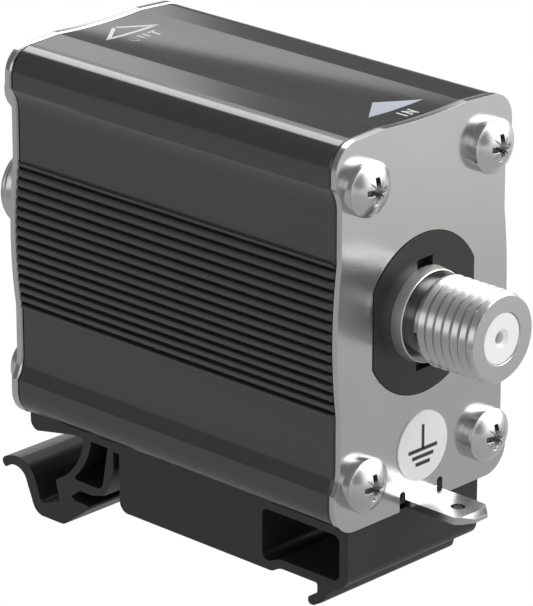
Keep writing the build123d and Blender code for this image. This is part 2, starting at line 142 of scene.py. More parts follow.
# %% [markdown]
# ## Wiring
# Materials and the world are both trees of nodes. `add` puts in any node: the settings go first, because
# some of them change which sockets a node has, and then the sockets get their values or links. The methods
# after it are patterns that both kinds of tree need: a soft step up or down, a colour mix, and a choice by
# kind of ray, which lets the camera, a mirror and a matt surface each find something else in the same
# place. Node groups could hold the same patterns, but a method can be read where it is written.

# %% The wiring class
class Wiring:
    """The shader tree of a material or of the world."""

    def __init__(self, owner):
        owner.use_nodes = True
        self.tree = owner.node_tree
        self.tree.nodes.clear()

    def add(self, kind, settings=None, sockets=None, output=0):
        """Add one node: its settings, then its sockets. Gives back one output."""
        node = self.tree.nodes.new(kind)
        for key, value in (settings or {}).items():
            setattr(node, key, value)
        for key, value in (sockets or {}).items():
            if isinstance(value, Signal):
                self.tree.links.new(value.socket, node.inputs[key])
            else:
                node.inputs[key].default_value = value
        return Signal(self, node.outputs[output])

    def close(self, kind, shader):
        """Join the last shader to the tree's output."""
        end = self.tree.nodes.new(kind)
        self.tree.links.new(shader.socket, end.inputs["Surface"])

    def step(self, value, low, high, start=0.0, end=1.0):
        """A soft step: start below low, end above high."""
        return self.add("ShaderNodeMapRange", {"interpolation_type": "SMOOTHSTEP"},
                        {"Value": value, "From Min": low, "From Max": high, "To Min": start, "To Max": end})

    def fade(self, value, low, high):
        """A soft step down: 1 below low, 0 above high."""
        return self.step(value, low, high, 1.0, 0.0)

    def mix(self, mask, first, second):
        """The first colour where the mask is 0, the second where it is 1. Colours are sockets 6 and 7."""
        return self.add("ShaderNodeMix", {"data_type": "RGBA"}, {0: mask, 6: first, 7: second}, 2)

    def ray(self, kind):
        """1 for the rays of one kind, such as "Is Camera Ray"."""
        return self.add("ShaderNodeLightPath", output=kind)

    def close_by_ray(self, kind, lit, mirrored, straight):
        """Close the tree with a shader each for falling light, mirrored rays and straight rays."""
        direct = self.ray("Is Camera Ray").larger(self.ray("Is Transmission Ray"))
        found = self.add("ShaderNodeMixShader", sockets={0: self.ray("Is Glossy Ray"), 1: lit, 2: mirrored})
        self.close(kind, self.add("ShaderNodeMixShader", sockets={0: direct, 1: found, 2: straight}))

# %% [markdown]
# ## A finish
# A finish is one material. Its patterns are measured in millimetres on the object itself, so a scratch or a
# grain has the same size on every piece and nothing slides when the camera moves: places, noise of a given
# size, an edge finder, which compares the real surface with one whose edges are rounded, and a bump. A
# picture unwrapped onto each piece could carry such marks too, but it has pixels and seams.

# %% The finish class
class Finish(Wiring):
    """A material under construction, with patterns in millimetres."""

    def __init__(self, name):
        self.material = bpy.data.materials.new(name)
        super().__init__(self.material)
        where = self.add("ShaderNodeTexCoord", output="Object")
        self.place = self.add("ShaderNodeVectorMath", {"operation": "SCALE"},
                              {"Vector": where, "Scale": 1 / mm})

    def along(self, axis):
        """One coordinate of the surface point, in millimetres."""
        return self.add("ShaderNodeSeparateXYZ", sockets={"Vector": self.place}, output=axis)

    def noise(self, size, stretch=(1, 1, 1), detail=3.0, roughness=0.5):
        """Noise about 0.5 whose grains are about size millimetres, drawn out by stretch."""
        spread = tuple(1 / (size * s) for s in stretch)
        where = self.add("ShaderNodeVectorMath", {"operation": "MULTIPLY"}, {0: self.place, 1: spread})
        return self.add("ShaderNodeTexNoise", {"noise_dimensions": "3D"},
                        {"Vector": where, "Scale": 1.0, "Detail": detail, "Roughness": roughness})

    def rounded(self, radius):
        """The surface direction, as if each edge had this radius in millimetres."""
        return self.add("ShaderNodeBevel", {"samples": 6}, {"Radius": radius * mm})

    def edges(self, radius):
        """1 on sharp edges and 0 on flat faces."""
        soft = self.rounded(radius)
        flat = self.add("ShaderNodeNewGeometry", output="Normal")
        same = self.add("ShaderNodeVectorMath", {"operation": "DOT_PRODUCT"}, {0: soft, 1: flat}, "Value")
        return self.step(1 - same, 0.004, 0.08)

    def bump(self, height, depth, edge=None):
        """A surface direction from a height of 0 to 1 that stands for depth millimetres."""
        sockets = {"Height": height, "Strength": 1.0, "Distance": depth * mm}
        if edge is not None:
            sockets["Normal"] = edge
        return self.add("ShaderNodeBump", sockets=sockets)

    def finish(self, **sockets):
        """Close the material with one Principled shader, and give it back."""
        named = {key.replace("_", " "): value for key, value in sockets.items()}
        surface = self.add("ShaderNodeBsdfPrincipled", sockets=named)
        self.close("ShaderNodeOutputMaterial", surface)
        return self.material


def grey(value, warmth=0.0):
    """A colour of one lightness, a little warmer for a positive warmth."""
    return (value * (1 + warmth), value, value * (1 - warmth), 1.0)

# %% [markdown]
# ## The room that the metal mirrors
# Polished metal shows little of its own: it shows the room. Each band of light on a screw head or on the
# sleeve is a bright panel, and each dark band is the gap beside it. A modelled studio or a picture of one
# could stand round the object. A few soft steps on the direction of a ray do the same, and each can be read
# off the metal in the photograph and set by itself. The front is dark. The right is one bright wall that
# stops short of the ceiling. A faint patch of light stands low at the front left. Behind, a bright wall
# stands to the left of a slanted edge and is brighter towards its top, and that edge is the clean line of
# light along the dish.

# %% Walls
dark_front = 0.28
dark_back = 0.20
behind_from = (0.10, 0.35)
right_glow = 1.6
right_from = (-0.20, 0.38)
right_head = (0.78, 0.88)
patch_glow = 0.85
patch_side = (-0.62, -0.45)
patch_foot = (-0.28, -0.08)
patch_head = (0.30, 0.46)
patch_back = (-0.45, -0.25)
back_glow = 1.15
back_lift = 1.5
back_rise = (0.40, 0.75)
back_slant = 1.115
back_lean = 0.282
back_edge = (-0.012, 0.016)
back_left = (0.02, 0.07)
back_foot = (-0.14, -0.08)

room = bpy.data.worlds.new("room")
scene.world = room
walls = Wiring(room)
facing = walls.add("ShaderNodeTexCoord", output="Generated")
to_right, to_back, upward = (walls.add("ShaderNodeSeparateXYZ", sockets={"Vector": facing}, output=axis)
                             for axis in "XYZ")
behind = walls.step(to_back, *behind_from)
dark_wall = dark_front + behind * (dark_back - dark_front)
right_wall = walls.step(to_right, *right_from) * walls.fade(upward, *right_head) * (1 - behind)
patch = walls.fade(to_right, *patch_side) * walls.fade(to_back, *patch_back)
patch = patch * walls.step(upward, *patch_foot) * walls.fade(upward, *patch_head)
back_wall = walls.step(to_back - to_right * back_slant + upward * back_lean, *back_edge) * behind
back_wall = back_wall * walls.step(to_right, *back_left) * walls.step(upward, *back_foot)
back_wall = back_wall * (back_glow + walls.step(upward, *back_rise) * back_lift)
print("nodes in the walls:", len(room.node_tree.nodes))

# %% [markdown]
# ## The world
# Only mirrored rays should find those walls. The light that falls on the object is an even grey, so that a
# colour renders about as it is written, and straight rays find pure white, which makes the background white
# with no light poured out for it. One background for every ray would be simpler, but the metal would then
# have nothing dark to mirror.

# %% World
ambient = 0.60

glow = dark_wall + right_wall * right_glow + patch * patch_glow + back_wall
walls.close_by_ray(
    "ShaderNodeOutputWorld",
    lit=walls.add("ShaderNodeBackground", sockets={"Color": grey(ambient)}),
    mirrored=walls.add("ShaderNodeBackground", sockets={"Color": grey(1.0), "Strength": glow}),
    straight=walls.add("ShaderNodeBackground", sockets={"Color": grey(1.0)}),
)
print("even light:", ambient)

# %% [markdown]
# ## The table
# The object stands on a wide pale table. A curved sweep of paper would do as well, but the camera looks
# down and sees nothing past a flat sheet. To the camera it is as white as the world. Mirrored rays find it
# darker, since the plate and the sides of the sleeve show a grey table, and that grey is painted light: an
# emitted glow that brightens towards the lamp at the right and, less, towards the back.

# %% Table
floor_z = cad_box[0][2]
floor_half = 3.0
floor_tone = 0.86
table_middle = 34.0
table_left = 0.31
table_near = 0.22
near_fade = (-20.0, 45.0)
table_far = 0.29
far_fade = (70.0, 190.0)
table_back = 0.16
back_fade = (-5.0, 45.0)

table = Finish("pale_table")
towards_lamp = (table.along("X") - table.along("Y") + table_middle) * math.sqrt(0.5)
# Painted light for mirrored rays: an emitted grey, brighter towards the key lamp and towards the back.
painted_table_light = table_left + table.step(towards_lamp, *near_fade) * table_near
painted_table_light = painted_table_light + table.step(towards_lamp, *far_fade) * table_far
painted_table_light = painted_table_light + table.step(table.along("Y"), *back_fade) * table_back
table.close_by_ray(
    "ShaderNodeOutputMaterial",
    lit=table.add("ShaderNodeBsdfDiffuse", sockets={"Color": grey(floor_tone)}),
    mirrored=table.add("ShaderNodeEmission", sockets={"Color": table.mix(painted_table_light, grey(0.0), grey(1.0))}),
    straight=table.add("ShaderNodeEmission", sockets={"Color": grey(1.0)}),
)

corners = [(x * floor_half, y * floor_half, floor_z) for x, y in ((-1, -1), (1, -1), (1, 1), (-1, 1))]
sheet = bpy.data.meshes.new("table")
sheet.from_pydata(corners, [], [(0, 1, 2, 3)])
sheet.materials.append(table.material)
table_top = bpy.data.objects.new("table", sheet)
scene.collection.objects.link(table_top)
print("floor at", round(floor_z / mm, 2), "mm")

# %% [markdown]
# ## Lamps
# Two large soft boxes give the light a direction: the key at the front right, which fills the plate and the
# tops of the screws, and a smaller one behind, which draws the bright edge along the top. Small lamps would
# leave hard dots on the metal, where the photograph shows broad soft bands.

# %% Soft boxes
aim = Vector((0.0, 0.03, 0.0))


def soft_box(name, at, size, power):
    """A soft lamp of a width and height at a place, turned towards the object."""
    lamp = bpy.data.lights.new(name, "AREA")
    lamp.shape = "RECTANGLE"
    lamp.size, lamp.size_y = size
    lamp.energy = power
    holder = bpy.data.objects.new(name, lamp)
    holder.location = at
    holder.rotation_euler = (aim - Vector(at)).to_track_quat("-Z", "Y").to_euler()
    scene.collection.objects.link(holder)
    print(name, "at", round(holder.location.length, 2), "m from the origin")


soft_box("key_box", at=(0.75, -0.86, 0.94), size=(1.2, 0.85), power=9.0)
soft_box("back_box", at=(0.381, 1.077, 1.151), size=(0.577, 0.80), power=4.6)

# %% [markdown]
# ## Anodised sleeve
# The body is an aluminium extrusion, anodised dark grey. Anodising leaves a thin hard glassy skin: the
# colour below it is matt and even, the skin mirrors the room softly, and the die leaves faint lines along
# the extrusion. A metallic shader would mirror too much, so this is a dark colour under a clear gloss, with
# noise stretched a hundredfold along the length for the lines. Edges catch the light, which the edge finder
# shows by rounding them for the shader alone, and their colour is painted lighter, a painted highlight. The
# flat strips beside the dish slope a little on the part and mirror as if they were level in the photograph,
# so a shallow bump leans them back.

# %% Sleeve finish
ridge_x = 6.1
strip_end = 9.95
strip_rise = 0.2
strip_from_z = (5.0, 15.0)
line_depth = 0.0012

sleeve = Finish("anodised_sleeve")
die_lines = sleeve.noise(size=0.35, stretch=(1, 160, 1), detail=4.0)
clouds = sleeve.noise(size=9.0, stretch=(1, 2.5, 1), detail=3.0)
sleeve_tone = sleeve.mix(clouds, grey(0.037), grey(0.044))
sleeve_tone = sleeve.mix(die_lines * 0.35, sleeve_tone, grey(0.052))
strip = (abs(sleeve.along("X")) - ridge_x) / (strip_end - ridge_x)
strip = (strip.larger(0.0).smaller(1.0) - 1) * sleeve.step(sleeve.along("Z"), *strip_from_z)
level = sleeve.bump(strip, strip_rise, sleeve.rounded(0.09))
sleeve.finish(
    # Painted highlight: the colour is lighter on the edges.
    Base_Color=sleeve.mix(sleeve.edges(0.12) * 0.35, sleeve_tone, grey(0.14)),
    Roughness=0.09 + die_lines * 0.05,
    Normal=sleeve.bump(die_lines, line_depth, level),
    IOR=1.6,
)


def dress(material, *nodes):
    """Give nodes of the frame their finish."""
    for node in nodes:
        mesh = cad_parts[node].data
        mesh.materials.clear()
        mesh.materials.append(material)


dress(sleeve.material, "housing")

# %% [markdown]
# ## Places on the metal
# Some metal is painted darker or lighter in one place only, such as the painted shade in the groove of a
# port. A material finds such a zone by where it is, so the places come first. The middle of the body, about
# which both ends are alike, the face of the front plate, the screws and the earth tab are measured on the
# frame. They could be typed in as numbers, but then those zones would stay behind if the part were made in
# another size.

# %% Places on the metal
def in_mm(box):
    """The lowest and highest corner of a box, in millimetres."""
    return [Vector(corner) / mm for corner in box]


body_low, body_high = in_mm(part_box("housing"))
body_middle = (body_low.y + body_high.y) / 2
sheet_t = 0.8
plate_face = in_mm(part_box("front_plate"))[1].y - sheet_t
undercut_at = 7.62
collar_at = 9.05
head_r = 2.93
head_dome = 1.05
head_blend = 0.2
rim_r = head_r - head_blend
dome_r = (rim_r ** 2 + head_dome ** 2) / (2 * head_dome)
heads_low, heads_high = in_mm(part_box("front_plate_screws"))
screw_x = heads_high.x - head_r
screw_z = heads_high.z - head_r
tab_reach = 7.0
tab_points = [v.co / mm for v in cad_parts["front_plate"].data.vertices if v.co.y < tab_reach * mm]
tab_top = max(point.z for point in tab_points)
tab_hole_r = 0.75
hole_from_tip = 3.1
tab_hole_at = min(point.y for point in tab_points) + hole_from_tip
fold_r = 0.15
fold_at = plate_face - fold_r
print("plate face at Y", round(plate_face, 2), "and tab hole at Y", round(tab_hole_at, 2))

# %% [markdown]
# ## Zones on the metal
# The undercut of a port, the recess of a screw and the hole of the earth tab lie in their own shadow and
# mirror little but themselves, so their colour is painted darker there, as painted shade, and so is a fine
# line along the fold of the earth tab. The collar of a port is painted lighter, a painted highlight. Each
# zone is a function that a metal finish calls with itself. It gives back 0 outside the zone and, inside it,
# how strongly the zone shows there, with a soft edge from the one to the other. The alternative, a second
# material on some faces of the mesh, would follow the edges of the faces and could not fade.

# %% Zones on the metal
# How strongly each zone is darkened as painted shade, and where it lies.
undercut_shade = 0.55
undercut_from = (undercut_at - 0.1, undercut_at)
undercut_to = (collar_at + 0.01, collar_at + 0.03)
collar_from = (collar_at + 0.01, collar_at + 0.05)
recess_shade = 0.42
recess_deep = (0.04, 0.6)
recess_r = (2.0, 2.1)
hole_shade = 0.78
hole_wall = (tab_hole_r + 0.03, tab_hole_r + 0.07)
hole_top = (tab_top - 0.06, tab_top - 0.02)
fold_shade = 0.5
fold_side = (0.03, 0.05)
fold_top = (tab_top + 0.05, tab_top + 0.1)


def past_end(finish):
    """How far a point lies past the open end of the nearer port, in millimetres."""
    return body_middle - abs(finish.along("Y") - body_middle)


def undercut(finish):
    """Painted shade in the groove between the thread and the collar."""
    past = past_end(finish)
    return finish.step(past, *undercut_from) * finish.fade(past, *undercut_to) * undercut_shade


def collar(finish):
    """1 on the collar, which is more coarsely turned and painted lighter, a painted highlight."""
    return finish.step(past_end(finish), *collar_from)


def recess(finish):
    """The recess of a plate screw, painted darker with its depth below the dome, as painted shade."""
    across = abs(finish.along("X")) - screw_x
    up = abs(finish.along("Z")) - screw_z
    r = (across ** 2 + up ** 2) ** 0.5
    deep = past_end(finish) - heads_low.y - r ** 2 / (2 * dome_r)
    return finish.step(deep, *recess_deep) * finish.fade(r, *recess_r) * recess_shade


def tab_painted_shade(finish):
    """Painted shade on the wall of the earth tab's hole, and along a fine line on its fold."""
    across, out, up = (finish.along(axis) for axis in "XYZ")
    hole_r = (across ** 2 + (out - tab_hole_at) ** 2) ** 0.5
    hole = finish.fade(hole_r, *hole_wall) * finish.fade(up, *hole_top)
    fold = finish.fade(abs(out - fold_at), *fold_side) * finish.fade(up, *fold_top)
    return hole * hole_shade + fold * fold_shade


print("undercut from", undercut_from[1], "to", collar_at, "mm past each end")

# %% [markdown]
# ## Nickel
# The plates, ports and screws are plated with nickel. The plates are rolled sheet, so their grain is fine
# and runs up the plate. The ports are turned, so theirs runs round, and the cold-formed screws have an even
# skin. One function makes them all: a metallic shader whose tone and gloss drift a little over the surface,
# with edges a little lighter, partly as wear and partly as a painted highlight. An even tone would look like
# a mirror, and not like a used fastener. Painted shade darkens the zones that lie in shadow, and a painted
# highlight lightens the collar of each port.

# %% Metal finishes
# Edges are lighter, partly as wear and partly as a painted highlight.
wear_and_highlight_share = 0.4
wear_and_highlight_lift = 1.25
# The tone that painted shade darkens the colour to.
painted_shade_tone = 0.12
# The collar is painted lighter, a painted highlight, and its roughness is raised for the coarser turning.
painted_light_tone = 0.95
coarse_roughness = 0.24


def plated(name, tone, roughness, grain, grain_size, stretch, edge_r, warmth=0.012, shade=None, coarse_and_painted_light=None):
    """Metal of one tone, its grain a fine bump, its edges lighter as wear and as a painted highlight.
    One zone gets painted shade, another a rougher skin and a painted highlight.
    """
    metal = Finish(name)
    lines = metal.noise(grain_size, stretch, detail=4.0, roughness=0.6)
    haze = metal.noise(size=6.0)
    colour = metal.mix(haze, grey(tone * 0.96, warmth), grey(tone * 1.03, warmth))
    lighter_edge = grey(min(1.0, tone * wear_and_highlight_lift), warmth)
    # Lighter edges: partly wear, partly a painted highlight.
    colour = metal.mix(metal.edges(edge_r) * wear_and_highlight_share, colour, lighter_edge)
    roughness = roughness + haze * 0.06 + lines * 0.05
    if shade:
        # Painted shade: the colour darkens in the shaded zone.
        colour = metal.mix(shade(metal), colour, grey(tone * painted_shade_tone, warmth))
    if coarse_and_painted_light:
        zone = coarse_and_painted_light(metal)
        # Painted highlight: the collar's colour is painted lighter, while its added roughness is real.
        colour = metal.mix(zone, colour, grey(painted_light_tone, warmth))
        roughness = roughness + zone * coarse_roughness
    return metal.finish(
        Base_Color=colour,
        Metallic=1.0,
        Roughness=roughness,
        Normal=metal.bump(lines, grain, metal.rounded(edge_r)),
    )


plate_nickel = plated("satin_plate", tone=0.62, roughness=0.13, grain=0.0008, grain_size=0.12,
                      stretch=(1, 1, 14), edge_r=0.03, shade=tab_painted_shade)
screw_nickel = plated("screw_nickel", tone=0.64, roughness=0.17, grain=0.0006, grain_size=0.5,
                      stretch=(1, 1, 1), edge_r=0.08, shade=recess)
port_nickel = plated("port_nickel", tone=0.64, roughness=0.17, grain=0.0006, grain_size=0.10,
                     stretch=(6, 1, 6), edge_r=0.05, shade=undercut, coarse_and_painted_light=collar)
dress(plate_nickel, "front_plate", "rear_plate")
dress(screw_nickel, "front_plate_screws", "rear_plate_screws", "foot_screws")
dress(port_nickel, "front_port_shell", "rear_port_shell", "front_port_nut", "rear_port_nut",
      "front_lock_washer", "rear_lock_washer")
print("nodes in the port's nickel:", len(port_nickel.node_tree.nodes))

# %% [markdown]
# ## Plastics
# The bush is a dark moulded ring, the foot is black glass-filled plastic with a slightly rough moulded
# skin, and the plug inside each port is white. All are dielectric: a colour under a clear gloss. A plain
# colour would look like paint, so the fine leathery skin of a mould lies over it, and the edges are a
# little lighter, as where a moulding has been handled.

# %% Plastic finishes
def plastic(name, tone, roughness, texture, grain_size, edge_r, lift, warmth=0.0):
    """Moulded plastic with a fine skin texture and slightly lighter, rounder edges."""
    moulded = Finish(name)
    skin = moulded.noise(grain_size, detail=2.0)
    patches = moulded.noise(size=5.0)
    colour = moulded.mix(patches, grey(tone * 0.93, warmth), grey(tone * 1.07, warmth))
    lighter_edge = grey(min(0.95, tone * lift), warmth)
    return moulded.finish(
        Base_Color=moulded.mix(moulded.edges(edge_r) * 0.3, colour, lighter_edge),
        Roughness=roughness + patches * 0.08,
        Normal=moulded.bump(skin, texture, moulded.rounded(edge_r)),
    )


bush_plastic = plastic("bush_plastic", tone=0.020, roughness=0.30, texture=0.0015, grain_size=0.10,
                       edge_r=0.05, lift=1.8)
foot_plastic = plastic("foot_plastic", tone=0.020, roughness=0.34, texture=0.0030, grain_size=0.16,
                       edge_r=0.12, lift=2.0)
plug_white = plastic("plug_white", tone=0.94, roughness=0.34, texture=0.0010, grain_size=0.12,
                     edge_r=0.08, lift=1.05, warmth=0.004)
disc_print = plastic("disc_print", tone=0.85, roughness=0.4, texture=0.001, grain_size=0.2,
                     edge_r=0.02, lift=1.02)
dress(bush_plastic, "front_port_bush", "rear_port_bush")
dress(foot_plastic, "rail_foot")
dress(plug_white, "front_port_insulator", "rear_port_insulator")
dress(disc_print, "earth_disc")
print("finishes so far:", len(bpy.data.materials))

# %% [markdown]
# ## Inside
# The parts on the circuit board are hidden until the sleeve comes off, and they still get a finish each:
# green solder mask, glazed ceramic, tinned wire, black epoxy, ferrite, enamelled copper and a bright spring
# clip. They could share one grey, but then an opened copy of the part would say nothing of what it is made
# of.

# %% Inside finishes
dress(plastic("solder_mask", tone=0.05, roughness=0.3, texture=0.004, grain_size=0.9, edge_r=0.05, lift=1.6),
      "circuit_board")
dress(plastic("glazed_ceramic", tone=0.62, roughness=0.22, texture=0.002, grain_size=0.4, edge_r=0.08,
              lift=1.2, warmth=0.02), "gas_discharge_tube")
dress(plastic("black_epoxy", tone=0.03, roughness=0.42, texture=0.003, grain_size=0.12, edge_r=0.08,
              lift=2.0), "suppressor_diode")
dress(plastic("ferrite", tone=0.06, roughness=0.6, texture=0.01, grain_size=0.15, edge_r=0.08, lift=1.6),
      "coil_bobbin")
dress(plastic("tan_ceramic", tone=0.36, roughness=0.45, texture=0.004, grain_size=0.2, edge_r=0.05,
              lift=1.3, warmth=0.25), "front_capacitor", "rear_capacitor")
dress(plastic("resistor_black", tone=0.04, roughness=0.4, texture=0.004, grain_size=0.2, edge_r=0.05,
              lift=1.8), "bleed_resistor")
dress(plated("enamelled_copper", tone=0.45, roughness=0.25, grain=0.02, grain_size=0.3, stretch=(6, 6, 1),
             edge_r=0.03, warmth=0.45), "coil_winding")
dress(plated("contact_silver", tone=0.85, roughness=0.3, grain=0.0006, grain_size=0.2, stretch=(1, 8, 1),
             edge_r=0.03), "front_port_contact", "rear_port_contact")
dress(plated("tinned_wire", tone=0.7, roughness=0.28, grain=0.001, grain_size=0.2, stretch=(1, 1, 1),
             edge_r=0.03), "gas_tube_line_lead", "gas_tube_earth_lead")
dress(plated("spring_clip", tone=0.66, roughness=0.25, grain=0.001, grain_size=0.2, stretch=(8, 1, 1),
             edge_r=0.03, warmth=0.03), "board_earth_clip")
finished = [node for node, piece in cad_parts.items() if piece.data.materials[0].use_nodes]
print("nodes with a finish:", len(finished), "of", len(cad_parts))

# %% [markdown]
# ## Pieces made in mesh code
# Threads, recesses and print are finer than the CAD part holds, so they are made here. One helper puts a
# mesh into the scene, lets it ride on the part's one body and, where it stands for a piece of the frame,
# hides that piece. The others close a mesh and set copies of it: a turned piece is made once and placed at
# both ends, where a second one made from its own numbers could come out different.

# %% Put a piece in place
sharp_edge = math.radians(30)
weld = 0.002


def add_piece(name, mesh, material, node=None):
    """Put a mesh into the scene as a piece of the object, in place of a node if one is named."""
    mesh.materials.append(material)
    piece = bpy.data.objects.new(name, mesh)
    scene.collection.objects.link(piece)
    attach(piece, "root")
    if node:
        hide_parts(node)


def close_mesh(name, shape, sharp=sharp_edge):
    """Make a mesh from a bmesh: doubles merged, faces turned outwards, smooth but for its sharp edges."""
    bmesh.ops.remove_doubles(shape, verts=shape.verts, dist=weld * mm)
    bmesh.ops.recalc_face_normals(shape, faces=shape.faces)
    mesh = bpy.data.meshes.new(name)
    shape.to_mesh(mesh)
    shape.free()
    mesh.shade_smooth()
    mesh.set_sharp_from_angle(angle=sharp)
    return mesh


def add_copy(shape, mesh, place):
    """Add to a bmesh a copy of a mesh, moved by a matrix."""
    before = len(shape.verts)
    shape.from_mesh(mesh)
    shape.verts.ensure_lookup_table()
    bmesh.ops.transform(shape, matrix=place, verts=shape.verts[before:])


def copies(name, mesh, places):
    """One mesh with a copy of another at each place."""
    shape = bmesh.new()
    for place in places:
        add_copy(shape, mesh, place)
    return close_mesh(name, shape)


as_made = Matrix()
turned_round = Matrix.Translation((0.0, 2 * body_middle * mm, 0.0)) @ Matrix.Rotation(math.pi, 4, "Z")
print("rear end, mm:", round((turned_round @ Vector()).y / mm, 2))

# %% [markdown]
# ## Screw threads
# A turned piece is one outline carried round an axis. A thread is the same, except that its rows climb by
# one pitch in a full turn: after the last column each row meets the row of the first column that lies one
# pitch further on. A modifier that screws a profile upwards would be shorter, but it leaves the ends of the
# thread open. Here rows that would leave the thread stay at its end, where doubles are merged, so the
# groove starts and stops as cleanly as if a tool had been pulled out. The rows of one turn are written as
# shares of the pitch: two at the root of the groove, two at the edges of the crest and two on each flank.

# %% Threads
row_parts = (-0.03, 0.03, 0.16, 0.30, 0.45, 0.55, 0.70, 0.84)
groove_half = 0.45
root_half = 0.03
run_out = 0.0006


def thread_columns(count):
    """Shares of a turn for the columns, with a close pair where the groove starts and stops."""
    return [0.0, run_out, *(i / count for i in range(1, count)), 1 - run_out]


def threaded(name, length, turns, crest_r, root_r, lead_r, rest, count):
    """A right-handed thread from Y = 0 to length, joined to the rest of its outline."""
    pitch = length / turns
    rows = [turn + part for turn in range(-1, turns + 1) for part in row_parts]

    def radius(y, column):
        along = y / pitch - column
        groove = round(along)
        inside = groove < turns and groove >= (1 if column == 0 else 0)
        depth = (groove_half - abs(along - groove)) / (groove_half - root_half)
        depth = inside * min(1.0, max(0.0, depth)) * (crest_r - root_r)
        return min(crest_r - depth, lead_r + y)

    shape = bmesh.new()
    columns = []
    for column in thread_columns(count):
        steps = [min(max(pitch * (row + column), 0.0), length) for row in rows]
        outline = [(radius(y, column), y) for y in steps] + list(rest)
        turn = 2 * math.pi * column
        columns.append([shape.verts.new((-r * math.cos(turn) * mm, y * mm, r * math.sin(turn) * mm))
                        for r, y in outline])
    last = len(rows) - 1
    first = columns[0]
    ends = [first[min(i + len(row_parts), last)] for i in range(len(rows))] + first[len(rows):]
    for near, far in zip(columns, [*columns[1:], ends]):
        for i in range(len(near)):
            corners = dict.fromkeys((near[i - 1], near[i], far[i], far[i - 1]))
            if len(corners) > 2:
                shape.faces.new(corners)
    print(name, "faces:", len(shape.faces))
    return close_mesh(name, shape)


print("rows in a turn of thread:", len(row_parts))

# %% [markdown]
# ## Ports
# A port is turned from bar: a threaded nose, an undercut where the threading tool runs out, a collar and
# the stem that its nut holds. The thread is 3/8-32 in name, and the photograph shows it coarser, with seven
# turns, so it is made as shown. The groove runs up from the left-hand side of the open end, as seen from
# the front. The rear port is the same piece turned round, not mirrored, so its thread is right-handed too.
# A bump could draw the thread on the plain CAD shell, but the outline of the nose would stay straight, and
# the camera sees it from the side.

# %% Port shells
shell_high = in_mm(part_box("front_port_shell"))[1]
stem_end = shell_high.y
collar_r = shell_high.x
collar_end = 10.35
collar_taper = 0.16
collar_break = 0.09
thread_r = 9.525 / 2
thread_root = 4.40
thread_l = 7.55
thread_turns = 7
nose_break = 0.35
nose_r = thread_r - nose_break
undercut_r = 3.9
stem_r = 3.95
bore_r = 2.715
bore_break = 0.06
port_columns = 144

behind_thread = (
    (undercut_r, thread_l),
    (undercut_r, collar_at),
    (collar_r - collar_taper - collar_break, collar_at),
    (collar_r - collar_taper, collar_at + collar_break),
    (collar_r, collar_end),
    (stem_r, collar_end),
    (stem_r, stem_end),
    (bore_r, stem_end),
    (bore_r, bore_break),
    (bore_r + bore_break, 0.0),
)
shell = threaded("port_shell", thread_l, thread_turns, thread_r, thread_root, nose_r, behind_thread,
                 port_columns)
add_piece("front_threaded_shell", copies("front_shell", shell, [as_made]), port_nickel,
          "front_port_shell")
add_piece("rear_threaded_shell", copies("rear_shell", shell, [turned_round]), port_nickel,
          "rear_port_shell")

# %% [markdown]
# ## Plugs
# The white plug in each port is a turned outline with no thread: rings of points, joined ring to ring. Its
# face is nearly flush with the nose, and a small funnel leads the cable's wire into the contact. The CAD
# plug is right in size, but plainer at its face, which is what the camera looks at.

# %% Port plugs
def turned(name, outline, count):
    """A closed outline of (radius, y) points carried round the Y axis."""
    shape = bmesh.new()
    rings = []
    for i in range(count):
        turn = 2 * math.pi * i / count
        rings.append([shape.verts.new((r * math.cos(turn) * mm, y * mm, r * math.sin(turn) * mm))
                      for r, y in outline])
    for near, far in zip(rings, [*rings[1:], rings[0]]):
        for i in range(len(outline)):
            shape.faces.new((near[i - 1], near[i], far[i], far[i - 1]))
    return close_mesh(name, shape)


plug_high = in_mm(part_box("front_port_insulator"))[1]
plug_r = plug_high.x
plug_end = plug_high.y
plug_face = 0.10
plug_break = 0.06
hole_r = 0.65
funnel = 0.35
socket_r = 1.08
socket_at = 1.37
plug_columns = 72

plug_outline = (
    (hole_r + funnel, plug_face),
    (plug_r - plug_break, plug_face),
    (plug_r, plug_face + plug_break),
    (plug_r, plug_end),
    (socket_r, plug_end),
    (socket_r, socket_at),
    (hole_r, socket_at),
    (hole_r, plug_face + funnel),
)
plug = turned("plug", plug_outline, plug_columns)
add_piece("front_plug", copies("front_plug", plug, [as_made]), plug_white,
          "front_port_insulator")
add_piece("rear_plug", copies("rear_plug", plug, [turned_round]), plug_white,
          "rear_port_insulator")
print("plug radius", round(plug_r, 2), "mm")

# %% [markdown]
# ## Screw recess
# Each plate screw has a cross recess with four thin spikes between its wings. A punch makes it on the real
# screw, and the script works the same way: the punch is built from wedges, each the smallest solid round a
# few points, and a boolean takes it out of the head. Moving the vertices of the dome would leave its round
# edge ragged.

# %% Screw recess
wing_reach = 1.65
wing_top_half_w = 0.3472
wing_floor_half_w = 0.2232
floor_reach = 0.35 * wing_reach
recess_depth = 1.3
above = 0.2
spike_from = 0.3
spike_half_w = 0.16
spike_deep = 0.75
spike_to = 1.8
spike_tip_half_w = 0.03
spike_tip_deep = 0.28


def hull(points):
    """A mesh of the smallest solid that holds the points."""
    shape = bmesh.new()
    for point in points:
        shape.verts.new([c * mm for c in point])
    bmesh.ops.convex_hull(shape, input=shape.verts)
    mesh = bpy.data.meshes.new("wedge")
    shape.to_mesh(mesh)
    shape.free()
    return mesh


